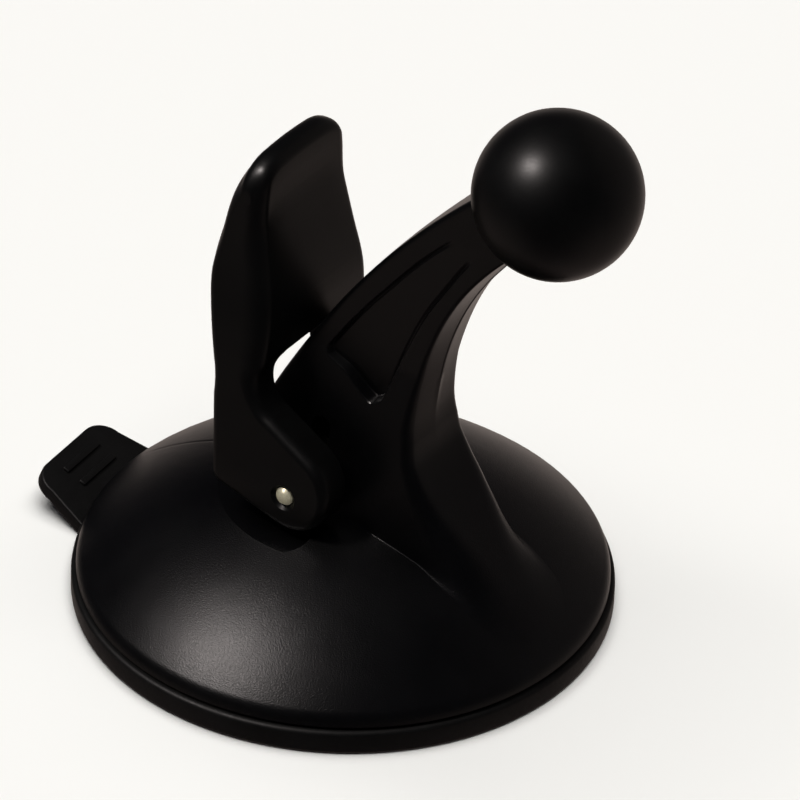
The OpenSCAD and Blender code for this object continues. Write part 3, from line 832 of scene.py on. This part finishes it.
def lever_edge(spot, front, back):
    """How many times the plain rounding an edge has at a place of the outline, down the flank and across the
    section: most at the front, and least at the back of the thin tip."""
    thick, thin = smooth(*THICK_Z, spot.y), smooth(*THIN_Z, spot.y)
    flank = 1 + FLANK_THICK * front * thick + FLANK_TIP * smooth(*ROUND_Z, spot.y)
    section = 1 + front * (ACROSS_FRONT + ACROSS_THICK * thick)
    return flank, section * (1 + ACROSS_THIN * front * thin - ACROSS_BACK * back * thin)


# Rounding of the edges, the share of it across the section, and what the outline gets back above the cams
EDGE, EDGE_ACROSS, GIVEN_BACK, GIVEN_BACK_Z = 1.0, 0.95, 0.28, (15, 24)
# Slant of the outline between which it counts as the front, above the cheeks, and as the back
FRONT_FACING, PADDLE_Z, BACK_FACING = (0.2, -0.6), (26, 32), (-0.3, 0.5)
# How far the back leans behind the plain bow, and how far the front leans back above the cheeks and forward
# again at the tip
LEVER_BACK = [(17, 0), (22, 0.7), (26, 0.68), (33, 0.3), (40, 0.5), (46, 0.34), (50, 0.5), (52, 0.1)]
FRONT_LEAN, LEAN_Z, TIP_FORWARD, FORWARD_Z = 0.12, (17, 25), 0.4, (46.5, 52)
# The back is hollow across its middle, where the folded lever comes down on the dome
HOLLOW, HOLLOW_Y, HOLLOW_LOW_Z, HOLLOW_HIGH_Z = 0.5, (7.5, 4.5), (26, 29), (38, 35)
# The tip's drop fades in up the paddle
DROP_Z = (34, TIP_Z - 1)


def lever_skin():
    """The lever without its slot and hole: its outline taken from flank to flank, with rounded edges."""
    line = lever_outline()
    count = len(line)
    inward = []
    for k in range(count):
        along = line[(k + 1) % count] - line[k - 1]
        inward.append(Vector((along.y, -along.x)).normalized())
    # each cut lies so far inside the outline and so far in from the flank
    cuts = [(EDGE * (1 - math.sin(turn)), EDGE * (1 - math.cos(turn)))
            for turn in [math.radians(15 * k) for k in range(7)]]
    cuts += [(0, depth) for depth in (1.25, 1.6, 2.0, 2.5, 3.2, 4.0, 5.0)]
    deepest = cuts[-1][1]
    rows = [(1, *cut) for cut in cuts] + [(0, *cuts[-1])] + [(-1, *cut) for cut in reversed(cuts)]

    def place(row, column):
        side, inset, depth = rows[row]
        spot, inner = line[column % count], inward[column % count]
        front = smooth(*FRONT_FACING, inner.x) * smooth(*PADDLE_Z, spot.y)
        back = smooth(*BACK_FACING, inner.x)
        flank, section = lever_edge(spot, front, back)
        fuller = GIVEN_BACK * smooth(*GIVEN_BACK_Z, spot.y)
        front_lean = FRONT_LEAN * smooth(*LEAN_Z, spot.y) - TIP_FORWARD * smooth(*FORWARD_Z, spot.y)
        lean = through(LEVER_BACK, spot.y) * back + front_lean * (1 - back)
        here = spot + inner * (inset * EDGE_ACROSS * section - fuller) - Vector((lean, 0))
        way_in = depth * flank
        if depth > EDGE:
            way_in = depth + (flank - 1) * EDGE * (deepest - depth) / (deepest - EDGE)

        def across_at(z):
            return side * (lever_half(z) - way_in)

        y = abs(across_at(here.y))
        hollow = smooth(*HOLLOW_Y, y) * smooth(*HOLLOW_LOW_Z, here.y) * smooth(*HOLLOW_HIGH_Z, here.y)
        z = here.y - tip_drop(min(y, lever_half(CORNER_Z))) * smooth(*DROP_Z, here.y)
        return Vector((here.x + HOLLOW * back * hollow, across_at(z), z))

    bm = wrapped(len(rows) - 1, count, place)
    bmesh.ops.holes_fill(bm, edges=[e for e in bm.edges if e.is_boundary], sides=0)
    # level cuts break up the two large flanks
    for level in range(16, 52, 2):
        bmesh.ops.bisect_plane(bm, geom=[*bm.verts, *bm.edges, *bm.faces], dist=MERGE, plane_co=(0, 0, level),
                               plane_no=(0, 0, 1))
    bmesh.ops.recalc_face_normals(bm, faces=bm.faces)
    return bm


def yoke_slot():
    """The gap between the cheeks, as a prism along x."""
    low, high = LEVER_HALF - CHEEK_T, lever_half(CROTCH_Z) - CHEEK_T
    corner, bottom, reach = 1.4, 10, 30
    line = eased([(-low, bottom, 0), (low, bottom, 0), (low, PIN_Z, 0), (high, CROTCH_Z, corner),
                  (-high, CROTCH_Z, corner), (-low, PIN_Z, 0)], 6)
    return drawn_out(sheet([(-reach, y, z) for y, z in line]), (2 * reach, 0, 0))


def pin_hole():
    """The pin's hole through both cheeks, with its countersinks."""
    hole, sink, outer = PIN_R + RUN_GAP, 0.45, LEVER_HALF
    line = [(0, -outer - 1), (hole + sink + 1, -outer - 1), (hole + sink, -outer), (hole, -outer + sink),
            (hole, outer - sink), (hole + sink, outer), (hole + sink + 1, outer + 1), (0, outer + 1)]
    return along_pivot(turned(line, ROUND_SIDES))


lever = placed(carved(lever_skin(), yoke_slot(), pin_hole()), "cam_lever", lever_abs, "lever_plastic",
               "lever", flats=True)
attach(lever, "lever")


# Pivot pin, with domed ends and rounded rims

DOMED_R, DOMED_H, DOMED_BOW, PIN_RIM, PIN_EASING = 0.88, 0.44, 0.12, 0.6, 0.12
pin_end = PIN_L / 2
dome_edge = Vector((DOMED_R, pin_end - DOMED_H))
pin_half = [bow_at(Vector((0, pin_end)), dome_edge, DOMED_BOW, k / 10) for k in range(10)]
pin_half += eased([(*dome_edge, 0), (PIN_R, pin_end - PIN_RIM, PIN_EASING), (PIN_R, 0, 0)], 5)
pin_line = pin_half + [Vector((p.x, -p.y)) for p in reversed(pin_half[:-1])]
pin = placed(along_pivot(turned(pin_line, ROUND_SIDES)), "hinge_pin", pin_nickel, "pin_steel", "pivot_pin")
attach(pin, "stem")


# Suction cup: the lip and its pull tab stay with the dome; the web and underside, which lift with the stem in
# the real cup, are drawn as pieces of their own

def under_z(radius):
    """Height of the hollow under the cup."""
    return bow_at(Vector((0, CUP_HOLLOW)), Vector((LIP_R - LIP_LAND, 0)), CUP_HOLLOW / 4,
                  radius / (LIP_R - LIP_LAND)).y


# The tab's outline lies a little inside its solid's, and what would dip under the glass is cut off
TAB_SHORT, TAB_NARROW, TAB_EASING, TAB_LIFT, GLASS_GAP = 0.25, 0.15, 0.25, 0.2, 0.02
RIB_W, RIB_PITCH, RIB_FROM_END, RIB_H, RIB_ROOT, RIB_EASING = 0.8, 2.2, 1.6, 0.3, 0.15, 0.14


def pull_tab():
    """A flat tab with rounded corners and two grip ribs, rising from the lip."""
    inner, corner, root = LIP_LAND, TAB_W / 5, TAB_W / 2 + 1
    length = inner + TAB_REACH - TAB_SHORT
    turn = Vector((length - corner, TAB_W / 2 - corner - TAB_NARROW))
    line = [Vector((0, -root)), Vector((inner, -root)), *arc((turn.x, -turn.y), corner, -90, 0, 10),
            *arc(turn, corner, 0, 90, 10), Vector((inner, root)), Vector((0, root))]
    bm = drawn_out(sheet([(x, y, 0) for x, y in line]), (0, 0, TAB_T))
    rims = [e for e in bm.edges
            if abs(e.verts[0].co.z - e.verts[1].co.z) < MERGE and e.calc_face_angle(0) > 1]
    bmesh.ops.bevel(bm, geom=rims, offset=TAB_EASING, affect="EDGES", segments=4, profile=0.5, material=-1)
    ends = [length - RIB_FROM_END - RIB_PITCH * row for row in (0, 1)]
    ribs = [block((end - RIB_W, -TAB_RIB_L / 2, TAB_T - RIB_ROOT), (end, TAB_RIB_L / 2, TAB_T + RIB_H),
                  RIB_EASING) for end in ends]
    tab = joined(bm, *ribs)
    turned_to = Matrix.Rotation(math.radians(180 + TAB_TURN), 4, "Z")
    raised = Matrix.Translation((LIP_R, 0, TAB_LIFT)) @ Matrix.Rotation(math.radians(-TAB_RISE), 4, "Y")
    bmesh.ops.transform(tab, matrix=turned_to @ raised @ Matrix.Translation((-inner, 0, 0)), verts=tab.verts)
    bmesh.ops.bisect_plane(tab, geom=[*tab.verts, *tab.edges, *tab.faces], dist=MERGE,
                           plane_co=(0, 0, GLASS_GAP), plane_no=(0, 0, -1), clear_outer=True)
    return tab


WEB_R, WEB_Z, SKIN = 24.0, SEAT_Z - SET_GAP, 0.25
# The lip's wall is drawn a hair inside its solid's
LIP_WALL_R, LIP_EASING = LIP_R - 0.01, 0.5
lip_line = eased([(WEB_R, under_z(WEB_R), 0), (LIP_R - LIP_LAND, 0, LIP_EASING), (LIP_WALL_R, 0, LIP_EASING),
                  (LIP_WALL_R, LIP_H, LIP_EASING), (LAND_R, LIP_H, 0.05), (LAND_R, WEB_Z, 0.1),
                  (WEB_R, WEB_Z, 0)], 5)
lip = placed(joined(turned(lip_line + lip_line[:1], 180), pull_tab()), "cup_lip_and_tab", cup_rubber,
             "cup_rubber", "suction_cup")
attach(lip, "housing")

# The web rises from its root to the boss, which holds the stem's flange in a pocket
ROOT_R, ROOT_TOP, ROOT_UNDER = BOSS_R + 2, 3.6, 3.2
BOSS_BORE, POCKET_R, POCKET_TOP = STEM_R + 2 * SET_GAP, FLANGE_R + 2 * SET_GAP, FLANGE_Z + FLANGE_T + SET_GAP
web_line = eased([(WEB_R, WEB_Z, 0), (ROOT_R, ROOT_TOP, 3), (BOSS_R, BOSS_Z, 0.6), (BOSS_BORE, BOSS_Z, 0.2),
                  (BOSS_BORE, POCKET_TOP, 0), (POCKET_R, POCKET_TOP, 0), (POCKET_R, ROOT_UNDER, 0),
                  (ROOT_R, ROOT_UNDER, 0), (WEB_R, WEB_Z - SKIN, 0)], 5)
web = placed(turned(web_line + web_line[:1], 120), "cup_web", cup_rubber, "cup_rubber", "suction_cup")
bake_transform(web)

hollow = [WEB_R * (1 - k / 24) for k in range(25)]
hollow_line = [Vector((r, under_z(r))) for r in hollow]
hollow_line += [Vector((r, under_z(r) + SKIN)) for r in reversed(hollow)]
underside = placed(turned(hollow_line + hollow_line[:1], 120), "cup_underside", cup_rubber, "cup_rubber",
                   "suction_cup")
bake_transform(underside)


# Return spring

def coil():
    """Round wire wound in an open coil."""
    low, high = SPRING_LOW + WIRE_R + SET_GAP, SPRING_HIGH - WIRE_R - SET_GAP
    steps = int(SPRING_TURNS * 32)
    bm = bmesh.new()
    bmesh.ops.create_circle(bm, cap_ends=True, segments=12, radius=WIRE_R,
                            matrix=Matrix.Translation((SPRING_R - WIRE_R, 0, low))
                            @ Matrix.Rotation(math.pi / 2, 4, "X"))
    bmesh.ops.spin(bm, geom=[*bm.verts, *bm.edges, *bm.faces], cent=(0, 0, 0), axis=(0, 0, 1),
                   dvec=(0, 0, (high - low) / steps), angle=2 * math.pi * SPRING_TURNS, steps=steps)
    return sealed(bm)


spring = placed(coil(), "coil_spring", spring_steel, "spring_steel", "return_spring")
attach(spring, "housing")
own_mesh(spring)

# Stem and washer keep their own shapes
for node, finish in (("stem", stem_nylon), ("spring_washer", spring_steel)):
    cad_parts[node].data.materials.clear()
    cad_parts[node].data.materials.append(finish)
